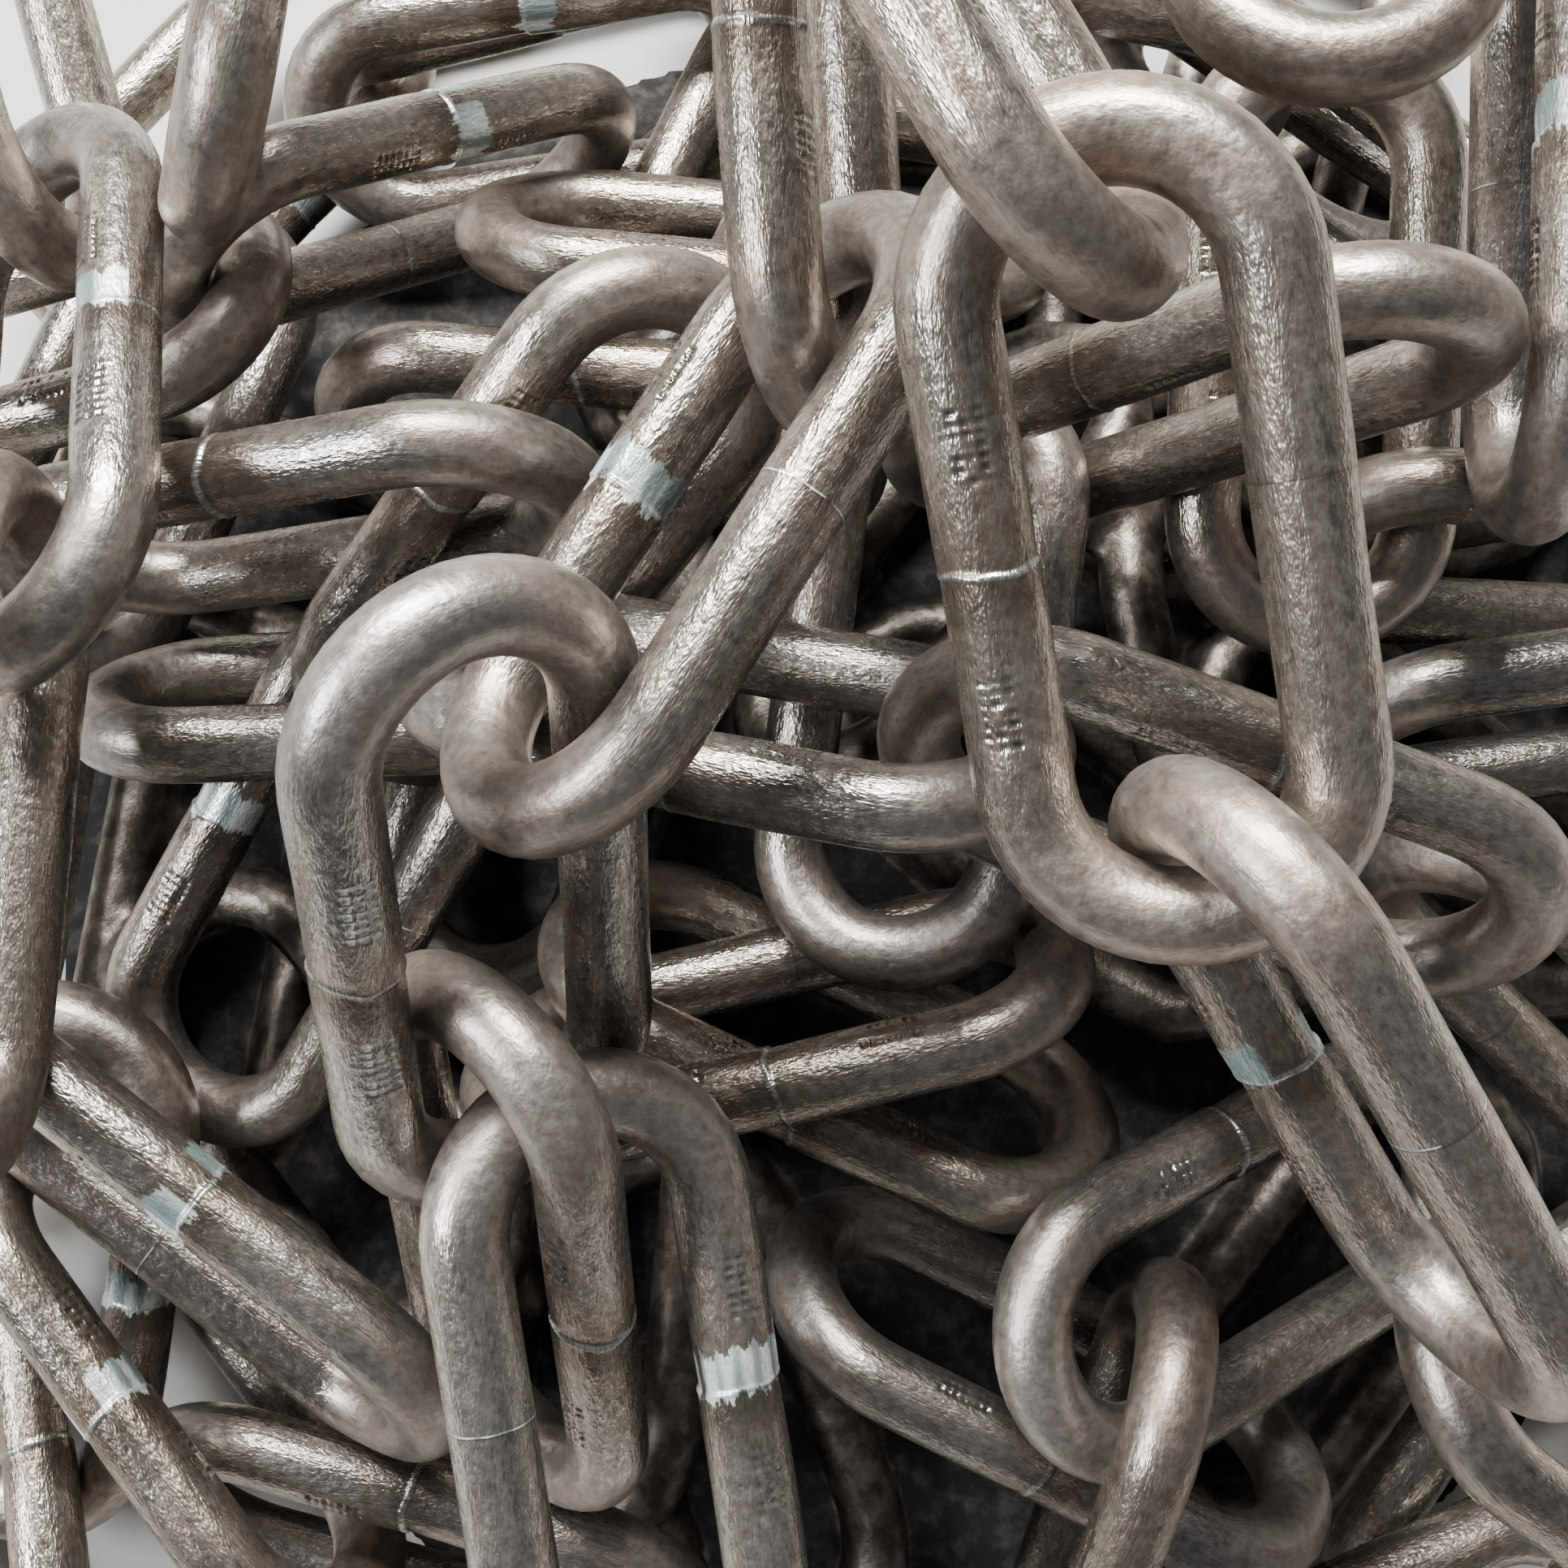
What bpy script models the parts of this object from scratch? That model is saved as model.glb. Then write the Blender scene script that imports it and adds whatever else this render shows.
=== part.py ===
"""Heap of iron chain: loose lengths of bare round-steel long-link chain thrown in a heap.

Every link is one closed loop of round bar, two straight legs joined by two half-round bends.
The links that a picture of the front of the heap shows are placed from that picture, the
links over the back and the sides are laid in short runs over a mound. These links are
eased apart, so that no two share any space, and brought up against each other, so that
none hangs in the air. One core stands for the links buried under them: a low bed, and on
it more links, dropped one by one into the room that is left, each running a little into
what it rests on.
Metres, Z up, the floor at zero, the front of the heap towards minus Y.
"""
import math

import bpy
import numpy as np
from mathutils import Matrix

# The link
WIRE_DIAMETER = 0.010
PITCH = 0.065
OUTER_WIDTH = 0.040
SECTION_POINTS = 8
BEND_STEPS = 7
SECTION_GROWTH = 1.03
BEND_BULGE = 0.4
NEIGHBOUR_GAP = 0.00045

# The room that the core of buried links fills: a round hump on a flat layer
CORE_CENTRE_X = -0.002
CORE_CENTRE_Y = -0.008
LAYER_RADIUS = 0.150
LAYER_HEIGHT = 0.012
LAYER_EDGE = 10
HUMP_RADIUS = 0.100
HUMP_HEIGHT = 0.018
CORE_GAP = 0.0006

# The bed that the buried links lie in: how far it lies under the top of that room
BED_DEPTH = 0.0072
BED_RINGS = (0.15, 0.30, 0.45, 0.60, 0.74, 0.86, 0.94, 1.0)
BED_SIDES = 36

# The buried links: how many are dropped if they find room, where the chances start, how many
# places are tried for each, how far out their middles lie, how much they lean and roll in
# radians, how deep they sink into the bed and into each other, what lying far out costs
# against lying high, how much of the mound's height they may fill, and their faces
BURIED_LINKS = 42
BURIED_SEED = 3
BURIED_TRIES = 900
BURIED_REACH = 0.138
BURIED_LEAN = 0.12
BURIED_ROLL = 0.35
BURIED_SINK = 0.0035
BURIED_LAP = 0.0012
OUTWARD_COST = 0.04
ROOF_SHARE = 0.85
BURIED_SECTION_POINTS = 8
BURIED_BEND_STEPS = 6
BURIED_GROWTH = 1.03

# The heights that are tried: their step, how many times the last step is halved, every how
# many sample points a first quick look takes and the slack that the full look needs
HEIGHT_STEP = 0.002
HALVINGS = 8
QUICK_LOOK = 5
SAMPLE_SLACK = 0.00025

# The mound that the runs over the back and the sides are laid on, and how many degrees
# each link of a run is rolled against the one before
MOUND_RADIUS = 0.150
MOUND_HEIGHT = 0.100
ROLL_PER_LINK = 75

# How the picture was taken: focal length and middle in pixels, the place of the eye in
# metres, how far the eye looks down, and the wire that its depths are read with
PICTURE_FOCAL = 2400.0
PICTURE_MIDDLE = 966.0
PICTURE_WIRE = 0.010
EYE = (-0.020, -0.072, 0.310)
EYE_ELEVATION = math.radians(78.0)

# Links that the picture shows: across and down of one end, across and down of the other
# end, how thick the wire looks half way along (all in pixels), which end is the nearer
# (0 for neither) and the roll in degrees, plus where the leg on the left is the nearer
SEEN_LINKS = {
    "front_link_01": (880, -540, 1385, 310, 136, 2, -75),
    "front_link_02": (1345, 118, 1475, 1122, 136, 1, 5),
    "front_link_03": (1475, 1000, 1880, 1690, 128, 1, 65),
    "front_link_04": (1110, 300, 600, 960, 122, 2, 62),
    "front_link_05": (590, 815, 605, 1375, 117, 1, -20),
    "front_link_06": (600, 1215, 635, 1850, 108, 1, 45),
    "front_link_07": (745, 1345, 790, 2130, 112, 1, -25),
    "front_link_08": (-110, -430, 30, 290, 92, 0, -60),
    "front_link_09": (95, 190, 45, 800, 107, 2, 62),
    "front_link_10": (385, -520, 215, 240, 80, 0, 90),
    "front_link_11": (215, 250, 745, 205, 90, 1, 60),
    "front_link_12": (600, 238, 1255, 335, 90, 0, -70),
    "front_link_13": (320, 385, -270, 460, 92, 1, 50),
    "front_link_14": (10, 678, 700, 672, 104, 2, 60),
    "front_link_15": (425, 470, 1060, 625, 86, 1, 50),
    "front_link_16": (870, 285, 530, 890, 98, 1, -40),
    "front_link_17": (920, -110, 770, 470, 88, 2, 60),
    "front_link_18": (950, -330, 985, 505, 120, 2, -70),
    "front_link_19": (110, 800, 780, 880, 92, 0, -60),
    "front_link_20": (1840, 425, 1150, 505, 112, 1, -70),
    "front_link_21": (1640, 50, 1612, 750, 95, 0, -15),
    "front_link_22": (1890, -180, 1920, 610, 102, 0, 75),
    "front_link_23": (1700, -560, 1665, 60, 108, 2, -10),
    "front_link_24": (1150, 865, 1880, 1130, 100, 0, 50),
    "front_link_25": (590, 830, 1235, 945, 108, 2, -60),
    "front_link_26": (1345, 1375, 695, 1190, 92, 1, 50),
    "front_link_27": (1275, 1130, 600, 1310, 95, 1, 60),
    "front_link_28": (1262, 1690, 1785, 1405, 95, 1, 25),
    "front_link_29": (1440, 1565, 1265, 2300, 104, 0, 80),
    "front_link_30": (1790, 1570, 2250, 1990, 102, 1, -35),
    "front_link_31": (1740, 1075, 2200, 1450, 100, 1, 60),
    "front_link_32": (-20, 1275, 480, 1785, 92, 0, 84),
    "front_link_33": (560, 830, 205, 1350, 93, 1, 40),
    "front_link_34": (190, 1270, 10, 1850, 91, 1, 30),
    "front_link_35": (170, 1815, 850, 1950, 95, 0, 65),
    "front_link_36": (990, 1550, 1600, 1850, 93, 1, -50),
    "front_link_37": (-30, 600, -40, 1420, 104, 0, -70),
    "front_link_38": (-120, 1500, 455, 1860, 98, 2, -60),
    "front_link_39": (690, 575, 640, 1200, 87, 1, 20),
    "front_link_40": (1640, 870, 2330, 850, 98, 0, 60),
    "front_link_41": (1600, 740, 2260, 640, 92, 1, 55),
    "front_link_42": (1110, 530, 1175, 1160, 88, 1, 20),
}

# Runs of chain over the back and the sides: across and back of the first end in metres,
# the way it heads in degrees from the right, the turn after each link in degrees and the
# roll of the first link in degrees
LAID_RUNS = {
    "back_run_a": (-0.125, 0.065, 55, (-40, -30, -30), 20),
    "back_run_b": (-0.020, 0.098, -5, (-35,), 65),
    "side_run_c": (0.125, 0.045, 265, (-15, -15), 25),
    "back_run_d": (-0.090, 0.088, 20, (), 40),
    "side_run_e": (-0.125, -0.050, 95, (-20,), 75),
    "front_run_f": (0.085, -0.125, 200, (-5, -5), 30),
    "front_run_g": (-0.150, -0.085, 300, (), 30),
}

# The easing apart: how many small steps, how strongly each link is drawn back to its first
# place and downwards while the easing starts, how much heavier a laid link is than a seen
# one, how many points the middle line of a link is sampled at, the radius that weighs a
# turn against a move, how freely a seen link moves across the line of sight compared with
# along it, and how links that touch nothing are brought up against the others
EASE_STEPS = 500
SETTLE_STEPS = 700
PULL_BACK = 0.01
FALL_PER_STEP = 0.00003
FALLING_STEPS = 200
LAID_FALL = 4.0
LOOP_SAMPLES = 40
TURN_RADIUS = 0.050
SIDEWAYS_SHARE = 0.3
CLOSE_ROUNDS = 30
CLOSE_REACH = 0.060
SAMPLE_SPACING = 0.003
NEAREST_ROUNDS = 8
OVERSTEP = 1.3


def view_axes():
    """Right, up and back (towards the eye) of the picture, as rows."""
    s, c = math.sin(EYE_ELEVATION), math.cos(EYE_ELEVATION)
    return np.array([[1.0, 0.0, 0.0], [0.0, s, c], [0.0, -c, s]])


def seen_pose(u1, v1, u2, v2, thickness, near, roll):
    """Middle, length axis and width axis of a link read from the picture.

    The thickness of its wire gives how deep its middle lies, and the two ends, one link
    length apart, then give how much deeper one end lies than the other.
    """
    length = PITCH + PICTURE_WIRE
    sideways = abs(math.sin(math.radians(roll))) * (OUTER_WIDTH - WIRE_DIAMETER) / 2
    depth = PICTURE_FOCAL * PICTURE_WIRE / thickness + sideways
    a = np.array([(u1 - PICTURE_MIDDLE) / PICTURE_FOCAL, (PICTURE_MIDDLE - v1) / PICTURE_FOCAL, -1])
    b = np.array([(u2 - PICTURE_MIDDLE) / PICTURE_FOCAL, (PICTURE_MIDDLE - v2) / PICTURE_FOCAL, -1])
    apart = np.linalg.norm(a - b)
    if near == 0 or apart * depth >= length:
        depth, half = length / apart, 0.0
    else:
        qa = (a + b) @ (a + b)
        qb = -2 * depth * ((a - b) @ (a + b))
        qc = (apart * depth) ** 2 - length ** 2
        root = math.sqrt(max(0.0, qb * qb - 4 * qa * qc))
        half = (-qb + root) / (2 * qa) if near == 1 else (-qb - root) / (2 * qa)
    first, second = a * (depth - half), b * (depth + half)
    middle = (first + second) / 2
    along = (second - first) / np.linalg.norm(second - first)
    facing = -middle / np.linalg.norm(middle)
    facing = facing - (facing @ along) * along
    facing /= np.linalg.norm(facing)
    left = np.cross(facing, along)
    turn = math.radians(roll)
    across = left * math.cos(turn) + facing * math.sin(turn)
    axes = view_axes()
    return np.array(EYE) + middle @ axes, along @ axes, across @ axes


def mound_height(x, y):
    """Height of the mound that the runs lie on, over the floor."""
    reach = (x * x + y * y) / MOUND_RADIUS ** 2
    return MOUND_HEIGHT * max(0.0, 1.0 - reach) + WIRE_DIAMETER


def laid_poses(x, y, heading, turns, roll):
    """Poses of a run of links laid over the mound, each one hooked through the next."""
    poses = []
    point = np.array([x, y, mound_height(x, y)])
    angle, side = math.radians(heading), roll
    for turn in (*turns, None):
        ahead = point[:2] + PITCH * np.array([math.cos(angle), math.sin(angle)])
        target = np.array([*ahead, mound_height(*ahead)])
        along = (target - point) / np.linalg.norm(target - point)
        level = np.cross([0.0, 0.0, 1.0], along)
        level /= np.linalg.norm(level)
        upper = np.cross(along, level)
        tilt = math.radians(side)
        poses.append((point + along * PITCH / 2, along,
                      level * math.cos(tilt) + upper * math.sin(tilt)))
        point = point + along * PITCH
        angle += math.radians(turn or 0)
        side -= ROLL_PER_LINK
    return poses


def loop_points(half_leg, bend, count):
    """Sample points round the middle line of a link lying in its own plane."""
    straight, arc = 2 * half_leg, math.pi * bend
    s = np.arange(count) / count * 2 * (straight + arc)
    out = np.zeros((count, 3))
    for k, t in enumerate(s):
        side = 1.0 if t < straight + arc else -1.0
        t = t % (straight + arc)
        if t < straight:
            out[k] = (side * (half_leg - t), side * bend, 0.0)
        else:
            w = (t - straight) / bend
            out[k] = (-side * (half_leg + bend * math.sin(w)), side * bend * math.cos(w), 0.0)
    return out


def nearest_on_loop(points, half_leg, bend):
    """Nearest points of the middle line of a link, for points in its own frame."""
    base = np.clip(points[..., 0], -half_leg, half_leg)
    dx, dy = points[..., 0] - base, points[..., 1]
    reach = np.maximum(np.hypot(dx, dy), 1e-9)
    near = np.zeros_like(points)
    near[..., 0] = base + bend * dx / reach
    near[..., 1] = bend * dy / reach
    return near


def core_top(dx, dy):
    """Height of the top of the core's room, and its two slopes, seen from its centre: a layer
    with a rounded-off edge, L (1 - (r / a) ** n), and a hump on it, H (1 - (r / b) ** 2) ** 2
    inside its radius b."""
    square = dx * dx + dy * dy
    edge = (square / LAYER_RADIUS ** 2) ** (LAYER_EDGE / 2)
    inside = np.maximum(0.0, 1.0 - square / HUMP_RADIUS ** 2)
    height = LAYER_HEIGHT * (1.0 - edge) + HUMP_HEIGHT * inside ** 2
    fall = (-LAYER_HEIGHT * LAYER_EDGE * edge / np.maximum(square, 1e-9)
            - 4 * HUMP_HEIGHT * inside / HUMP_RADIUS ** 2)
    return height, fall * dx, fall * dy


class Heap:
    """The links as rigid bodies: a middle and a turn for each."""

    def __init__(self, poses, seen):
        self.middle = np.array([p[0] for p in poses])
        self.turn = np.zeros((len(poses), 3, 3))
        for k, (_, along, across) in enumerate(poses):
            across = across - (across @ along) * along
            across /= np.linalg.norm(across)
            self.turn[k] = np.stack([along, across, np.cross(along, across)], axis=1)
        self.home = self.middle.copy()
        self.half_leg = (PITCH + WIRE_DIAMETER - (OUTER_WIDTH - WIRE_DIAMETER)) / 2
        self.bend = (OUTER_WIDTH - WIRE_DIAMETER) / 2
        self.loop = loop_points(self.half_leg, self.bend, LOOP_SAMPLES)
        self.first, self.second = np.triu_indices(len(poses), 1)
        self.apart = WIRE_DIAMETER + NEIGHBOUR_GAP
        sight = np.array(EYE) - self.middle
        sight /= np.linalg.norm(sight, axis=1)[:, None]
        firm = np.where(np.arange(len(poses)) < seen, SIDEWAYS_SHARE, 1.0)[:, None, None]
        along_sight = sight[:, :, None] * sight[:, None, :]
        self.heavy = np.where(np.arange(len(poses)) < seen, 1.0, LAID_FALL)
        self.freedom = firm * np.eye(3) + (1 - firm) * along_sight

    def to_own(self, points, which):
        return np.einsum("ijk,ij->ik", self.turn[which], points - self.middle[which])

    def to_heap(self, points, which):
        return self.middle[which] + np.einsum("ijk,ik->ij", self.turn[which], points)

    def near_places(self, within):
        """Places where two links come near: link, link, point on each and the distance."""
        far = np.linalg.norm(self.middle[self.first] - self.middle[self.second], axis=1)
        keep = far < 2 * (self.half_leg + self.bend) + within
        i, j = self.first[keep], self.second[keep]
        world = self.middle[i][:, None] + np.einsum("ijk,lk->ilj", self.turn[i], self.loop)
        own = np.einsum("ijk,ilj->ilk", self.turn[j], world - self.middle[j][:, None])
        gap = np.linalg.norm(own - nearest_on_loop(own, self.half_leg, self.bend), axis=2)
        least = (gap <= np.roll(gap, 1, 1)) & (gap < np.roll(gap, -1, 1)) & (gap < within + SAMPLE_SPACING)
        row, col = np.nonzero(least)
        i, j, point = i[row], j[row], world[row, col]
        for _ in range(NEAREST_ROUNDS):
            other = self.to_heap(nearest_on_loop(self.to_own(point, j), self.half_leg, self.bend), j)
            point = self.to_heap(nearest_on_loop(self.to_own(other, i), self.half_leg, self.bend), i)
        gap = np.linalg.norm(point - other, axis=1)
        keep = gap < within
        return i[keep], j[keep], point[keep], other[keep], gap[keep]

    def ground_places(self, within):
        """Places where a link comes near the floor or the core: link, point, way out, room."""
        world = self.middle[:, None] + np.einsum("ijk,lk->ilj", self.turn, self.loop)
        top, sx, sy = core_top(world[..., 0] - CORE_CENTRE_X, world[..., 1] - CORE_CENTRE_Y)
        steep = np.sqrt(1 + sx * sx + sy * sy)
        room = (world[..., 2] - top) / steep - WIRE_DIAMETER / 2 - CORE_GAP
        out = np.stack([-sx, -sy, np.ones_like(sx)], axis=-1) / steep[..., None]
        link, spot = np.nonzero(room < within)
        floor = world[..., 2] - WIRE_DIAMETER * SECTION_GROWTH / 2
        low, place = np.nonzero(floor < within)
        up = np.tile([0.0, 0.0, 1.0], (len(low), 1))
        return (np.concatenate([link, low]),
                np.concatenate([world[link, spot], world[low, place]]),
                np.concatenate([out[link, spot], up]),
                np.concatenate([room[link, spot], floor[low, place]]))

    def push(self, link, point, way, size, share):
        """Rigid moves that carry the given points along the given ways."""
        count = len(self.middle)
        arm = point - self.middle[link]
        lever = np.cross(arm, way)
        free = np.einsum("ijk,ik->ij", self.freedom[link], way)
        weight = np.sum(free * way, axis=1) + np.sum(lever * lever, axis=1) / TURN_RADIUS ** 2
        amount = (size * share / weight)[:, None]
        move, spin, hits = np.zeros((count, 3)), np.zeros((count, 3)), np.zeros(count)
        np.add.at(move, link, amount * free)
        np.add.at(spin, link, amount * lever / TURN_RADIUS ** 2)
        np.add.at(hits, link, 1.0)
        return move, spin, hits

    def shift(self, move, spin):
        self.middle += move
        angle = np.linalg.norm(spin, axis=1)
        safe = np.maximum(angle, 1e-12)[:, None]
        axis = spin / safe
        cross = np.zeros((len(axis), 3, 3))
        cross[:, 0, 1], cross[:, 0, 2], cross[:, 1, 2] = -axis[:, 2], axis[:, 1], -axis[:, 0]
        cross -= np.transpose(cross, (0, 2, 1))
        s, c = np.sin(angle)[:, None, None], np.cos(angle)[:, None, None]
        step = np.eye(3) + s * cross + (1 - c) * (cross @ cross)
        self.turn = step @ self.turn

    def ease(self, steps, fall, pull):
        """Push sharing links apart, step by step, and return the worst overlap left."""
        worst = 0.0
        for _ in range(steps):
            i, j, p, q, gap = self.near_places(self.apart)
            way = (p - q) / np.maximum(gap, 1e-9)[:, None]
            short = self.apart - gap
            g, gp, gw, room = self.ground_places(0.0)
            worst = max(short.max(initial=0.0), -room.min(initial=0.0))
            parts = [self.push(i, p, way, short, 0.5), self.push(j, q, -way, short, 0.5),
                     self.push(g, gp, gw, -room, 1.0)]
            move, spin, hits = (sum(part[k] for part in parts) for k in range(3))
            scale = OVERSTEP / np.maximum(hits ** 0.5, OVERSTEP)
            move, spin = move * scale[:, None], spin * scale[:, None]
            move += pull * (self.home - self.middle) / self.heavy[:, None]
            move[:, 2] -= fall * self.heavy
            self.shift(move, spin)
        return worst

    def close_up(self):
        """Bring each link that isn't held by the rest up against it, the nearest one first."""
        count = len(self.middle)
        for _ in range(CLOSE_ROUNDS):
            i, j, p, q, gap = self.near_places(CLOSE_REACH)
            held = {0}
            touch = gap < self.apart + NEIGHBOUR_GAP / 2
            grown = True
            while grown:
                grown = False
                for a, b in zip(i[touch], j[touch]):
                    if (a in held) != (b in held):
                        held |= {int(a), int(b)}
                        grown = True
            loose = [k for k in range(count) if k not in held]
            if not loose:
                return 0
            best = {}
            for a, b, pa, qb, d in zip(i, j, p, q, gap):
                for one, two, start, end in ((a, b, pa, qb), (b, a, qb, pa)):
                    if one not in held and two in held and d < best.get(one, (1.0,))[0]:
                        best[one] = (d, (end - start) / d * (d - self.apart))
            if not best:
                return len(loose)
            one = min(best, key=lambda k: best[k][0])
            self.middle[one] += best[one][1]
            self.ease(SETTLE_STEPS // 10, 0.0, 0.0)
        return len(loose)


def link_mesh(name, section_points, bend_steps, growth):
    """One link as a round bar swept along a closed curve of two legs and two bends."""
    half_leg = (PITCH + WIRE_DIAMETER - (OUTER_WIDTH - WIRE_DIAMETER)) / 2
    bend = (OUTER_WIDTH - WIRE_DIAMETER) / 2
    curve = bpy.data.curves.new("link_curve", "CURVE")
    curve.dimensions = "3D"
    curve.bevel_depth = WIRE_DIAMETER / 2 * growth
    curve.bevel_resolution = section_points // 2 - 2
    curve.use_fill_caps = True
    spline = curve.splines.new("POLY")
    spline.use_cyclic_u = True
    spline.points.add(2 * (bend_steps + 1) - 1)
    bulge = 1 + BEND_BULGE * (1 / math.cos(math.pi / 2 / bend_steps) - 1)
    for side in (0, 1):
        for k in range(bend_steps + 1):
            t = math.pi * (k / bend_steps - 0.5)
            sign = 1 - 2 * side
            radius = bend if k in (0, bend_steps) else bend * bulge
            x = sign * (half_leg + radius * math.cos(t))
            y = sign * radius * math.sin(t)
            spline.points[side * (bend_steps + 1) + k].co = (x, y, 0.0, 1.0)
    guide = bpy.data.objects.new("link_guide", curve)
    bpy.context.scene.collection.objects.link(guide)
    bpy.context.view_layer.update()
    made = guide.evaluated_get(bpy.context.evaluated_depsgraph_get())
    mesh = bpy.data.meshes.new_from_object(made)
    mesh.name = name
    bpy.data.objects.remove(guide)
    for face in mesh.polygons:
        face.use_smooth = True
    return mesh


def bed_top(x, y):
    """Height of the top of the bed, and the floor beside it."""
    return np.maximum(core_top(x - CORE_CENTRE_X, y - CORE_CENTRE_Y)[0] - BED_DEPTH, 0.0)


class Drop:
    """Links dropped one by one among those that lie already."""

    def __init__(self, heap, seen):
        self.half_leg, self.bend = heap.half_leg, heap.bend
        self.fine = loop_points(self.half_leg, self.bend, 2 * LOOP_SAMPLES)
        self.middle, self.turn = heap.middle.copy(), heap.turn.copy()
        self.apart = np.full(len(heap.middle), heap.apart)
        self.lying = len(heap.middle)
        world = self.middle[:seen, None] + np.einsum("kij,pj->kpi", self.turn[:seen], self.fine)
        ray = world.reshape(-1, 3) - np.array(EYE)
        self.sight_far = np.linalg.norm(ray, axis=1)
        self.sight = ray / self.sight_far[:, None]

    def gaps(self, points, near):
        """Least distance of points from the middle line of each link in near."""
        offset = points[None] - self.middle[near].reshape(-1, *[1] * (points.ndim - 1), 3)
        own = np.einsum("kij,k...i->k...j", self.turn[near], offset)
        reach = np.hypot(np.maximum(np.abs(own[..., 0]) - self.half_leg, 0.0), own[..., 1])
        return np.hypot(reach - self.bend, own[..., 2]).min(axis=-1)

    def hides(self, points):
        """Whether a link with these points lies before a link in sight."""
        ray = points - np.array(EYE)
        far = np.linalg.norm(ray, axis=1)
        limit = 1 - 0.5 * (WIRE_DIAMETER / self.sight_far) ** 2
        before = (ray / far[:, None]) @ self.sight.T > limit
        return bool((before & (far[:, None] < self.sight_far)).any())

    def lowest(self, spot, turn):
        """Lowest clear height over that spot where the link rests on the core, or None."""
        points = self.fine @ turn.T + np.array([*spot, 0.0])
        side = WIRE_DIAMETER / 2 * BURIED_GROWTH
        ground = bed_top(points[:, 0], points[:, 1])
        sunk = np.where(ground > BURIED_SINK, ground + side - BURIED_SINK, side + CORE_GAP / 2)
        roof = ROOF_SHARE * mound_height(spot[0] - CORE_CENTRE_X, spot[1] - CORE_CENTRE_Y)
        heights = np.arange((sunk - points[:, 2]).max(), roof - points[:, 2].max(), HEIGHT_STEP)
        if not len(heights):
            return None
        reach = 2 * (self.half_leg + self.bend) + WIRE_DIAMETER
        near = np.nonzero(np.linalg.norm(self.middle[:, :2] - spot, axis=1) < reach)[0]
        rise = np.array([0.0, 0.0, 1.0])
        for step, slack in ((2 * QUICK_LOOK, 0.0), (2, SAMPLE_SLACK)):
            tried = points[::step][None] + heights[:, None, None] * rise
            clear = (self.gaps(tried, near) > self.apart[near][:, None] + slack).all(axis=0)
            if not clear.any():
                return None
        first = int(np.argmax(clear))
        high = heights[first]
        low = heights[max(first - 1, 0)]
        for _ in range(HALVINGS):
            middle = (low + high) / 2
            free = (self.gaps(points + middle * rise, near) > self.apart[near]).all()
            low, high = (low, middle) if free else (middle, high)
        lapped = self.gaps(points + high * rise, near)[near >= self.lying] < WIRE_DIAMETER - BURIED_LAP / 2
        if first and not lapped.any():
            return None
        return high, points + high * rise

    def add(self, number):
        """Try places drawn by chance and keep the lowest one that hides no link in sight."""
        draw = np.random.default_rng((BURIED_SEED, number))
        best = None
        for _ in range(BURIED_TRIES):
            out, way = BURIED_REACH * math.sqrt(draw.uniform()), draw.uniform(0, 2 * math.pi)
            spot = np.array([CORE_CENTRE_X + out * math.cos(way), CORE_CENTRE_Y + out * math.sin(way)])
            turn = np.array(Matrix.Rotation(draw.uniform(0, 2 * math.pi), 3, "Z")
                            @ Matrix.Rotation(draw.normal(0, BURIED_LEAN), 3, "Y")
                            @ Matrix.Rotation(draw.normal(0, BURIED_ROLL), 3, "X"))
            found = self.lowest(spot, turn)
            if found is None:
                continue
            cost = found[0] + OUTWARD_COST * out
            if (best is None or cost < best[0]) and not self.hides(found[1]):
                best = (cost, np.array([*spot, found[0]]), turn)
        if best is not None:
            self.middle = np.concatenate([self.middle, best[1][None]])
            self.turn = np.concatenate([self.turn, best[2][None]])
            self.apart = np.append(self.apart, WIRE_DIAMETER - BURIED_LAP)


def bed_mesh():
    """The bed as a faceted hump with a flat underside, its points on the round shape."""
    rings = len(BED_RINGS)
    edge = LAYER_RADIUS * (1.0 - BED_DEPTH / LAYER_HEIGHT) ** (1.0 / LAYER_EDGE)
    points, faces = [], []
    for share in BED_RINGS:
        r = edge * share
        for k in range(BED_SIDES):
            t = 2 * math.pi * k / BED_SIDES
            x, y = r * math.cos(t), r * math.sin(t)
            height = float(core_top(x, y)[0]) - BED_DEPTH if share < 1 else 0.0
            points.append((CORE_CENTRE_X + x, CORE_CENTRE_Y + y, height))
    points.append((CORE_CENTRE_X, CORE_CENTRE_Y, LAYER_HEIGHT + HUMP_HEIGHT - BED_DEPTH))
    top = len(points) - 1
    for k in range(BED_SIDES):
        n = (k + 1) % BED_SIDES
        faces.append((top, k, n))
        for ring in range(rings - 1):
            a, b = ring * BED_SIDES, (ring + 1) * BED_SIDES
            faces.append((a + k, b + k, b + n, a + n))
    rim = (rings - 1) * BED_SIDES
    faces.append(tuple(rim + k for k in reversed(range(BED_SIDES))))
    mesh = bpy.data.meshes.new("bed")
    mesh.from_pydata(points, [], faces)
    mesh.validate()
    return mesh


def placed(middle, turn):
    """The matrix of a link with that middle, turned that way."""
    matrix = np.eye(4)
    matrix[:3, :3], matrix[:3, 3] = turn, middle
    return Matrix(matrix.tolist())


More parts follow.
